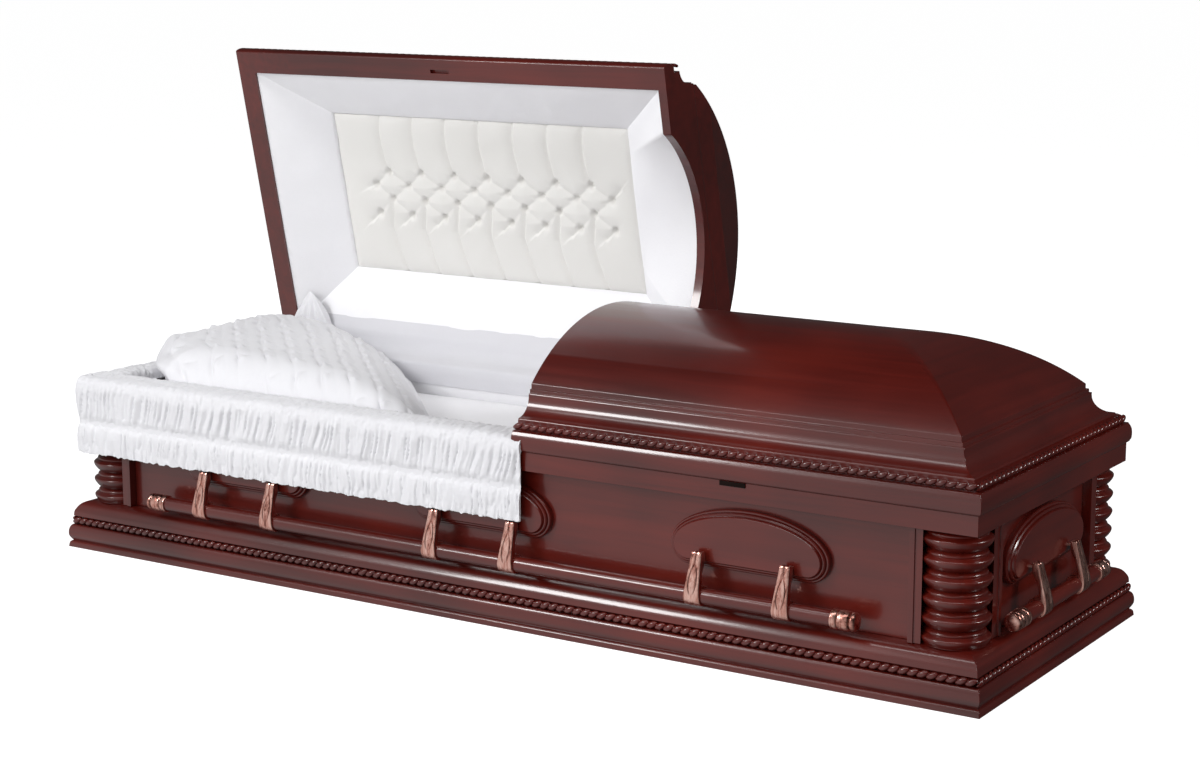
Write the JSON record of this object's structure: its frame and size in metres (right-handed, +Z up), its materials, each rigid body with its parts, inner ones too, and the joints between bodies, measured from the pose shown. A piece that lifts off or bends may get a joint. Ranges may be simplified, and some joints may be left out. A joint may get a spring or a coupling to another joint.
{
  "type": "half-couch funeral casket",
  "caption": "Wooden half-couch casket with domed lids, rope mouldings, turned corner columns, swing-bar handles and a white tufted lining; the head lid stands open.",
  "frame": {"origin": "on the underside, at the middle of the base, level with the floor it stands on", "axes": "+X to the foot end, +Y to the hinged rear side, +Z up"},
  "size_m": [2.1172, 0.8798, 1.0303],
  "materials": {
    "polished_wood": "dark red cherry or mahogany stain under a high-gloss lacquer",
    "antique_copper": "brushed antique copper plate, bright on raised edges and dark in the hollows",
    "hinge_metal": "copper-toned steel, satin",
    "catch_metal": "dark bronze paint, satin",
    "white_crepe": "matt white crepe, puffed and shirred",
    "white_velvet": "warm white velvet with buttoned tufts"
  },
  "bodies": {
    "root": {"base_moulding": "polished_wood", "base_rope": "polished_wood", "floor_board": "polished_wood", "top_rail": "polished_wood", "front_panel": "polished_wood", "rear_panel": "polished_wood", "head_panel": "polished_wood", "foot_panel": "polished_wood", "corner_post_foot_rear": "polished_wood", "corner_post_head_rear": "polished_wood", "corner_post_head_front": "polished_wood", "corner_post_foot_front": "polished_wood", "corner_column_foot_rear": "polished_wood", "corner_column_head_rear": "polished_wood", "corner_column_head_front": "polished_wood", "corner_column_foot_front": "polished_wood", "arch_plate_front_head": "polished_wood", "arch_plate_front_middle": "polished_wood", "arch_plate_front_foot": "polished_wood", "arch_plate_rear_foot": "polished_wood", "arch_plate_rear_middle": "polished_wood", "arch_plate_rear_head": "polished_wood", "arch_plate_foot_end_centre": "polished_wood", "arch_plate_head_end_centre": "polished_wood", "head_lid_hinge_strip": "hinge_metal", "foot_lid_hinge_strip": "hinge_metal", "head_catch": "catch_metal", "foot_catch": "catch_metal", "bed": "white_crepe", "body_lining": "white_crepe", "pillow": "white_crepe", "skirt": "white_crepe", "hinge_apron": "white_crepe"},
    "head_lid": {"head_lid": "polished_wood", "head_lid_rope": "polished_wood", "head_lid_lining": "white_crepe", "tufted_panel": "white_velvet"},
    "foot_lid": {"foot_lid": "polished_wood", "foot_lid_rope": "polished_wood", "foot_lid_lining": "white_crepe"},
    "handle_front": {"handle_bar_front": "polished_wood", "handle_arm_front_head_a": "antique_copper", "handle_arm_front_head_b": "antique_copper", "handle_arm_front_middle_a": "antique_copper", "handle_arm_front_middle_b": "antique_copper", "handle_arm_front_foot_a": "antique_copper", "handle_arm_front_foot_b": "antique_copper"},
    "handle_rear": {"handle_bar_rear": "polished_wood", "handle_arm_rear_foot_a": "antique_copper", "handle_arm_rear_foot_b": "antique_copper", "handle_arm_rear_middle_a": "antique_copper", "handle_arm_rear_middle_b": "antique_copper", "handle_arm_rear_head_a": "antique_copper", "handle_arm_rear_head_b": "antique_copper"},
    "handle_foot_end": {"handle_bar_foot_end": "polished_wood", "handle_arm_foot_end_centre_a": "antique_copper", "handle_arm_foot_end_centre_b": "antique_copper"},
    "handle_head_end": {"handle_bar_head_end": "polished_wood", "handle_arm_head_end_centre_a": "antique_copper", "handle_arm_head_end_centre_b": "antique_copper"}
  },
  "joints": [
    {"name": "head_lid_hinge", "type": "hinge", "parent": "root", "child": "head_lid", "pos_m": [-0.46, 0.3475, 0.344], "axis": [1, 0, 0], "range_deg": [0, 77.5], "deforming": ["skirt", "hinge_apron"]},
    {"name": "foot_lid_hinge", "type": "hinge", "parent": "root", "child": "foot_lid", "pos_m": [0.56, 0.3475, 0.344], "axis": [-1, 0, 0], "range_deg": [0, 77.5]},
    {"name": "front_handle_swing", "type": "hinge", "parent": "root", "child": "handle_front", "pos_m": [0, -0.346, 0.1975], "axis": [-1, 0, 0], "range_deg": [0, 75]},
    {"name": "rear_handle_swing", "type": "hinge", "parent": "root", "child": "handle_rear", "pos_m": [0, 0.346, 0.1975], "axis": [1, 0, 0], "range_deg": [0, 75]},
    {"name": "foot_end_handle_swing", "type": "hinge", "parent": "root", "child": "handle_foot_end", "pos_m": [1.031, 0, 0.1975], "axis": [0, -1, 0], "range_deg": [0, 75]},
    {"name": "head_end_handle_swing", "type": "hinge", "parent": "root", "child": "handle_head_end", "pos_m": [-1.031, 0, 0.1975], "axis": [0, 1, 0], "range_deg": [0, 75]}
  ]
}
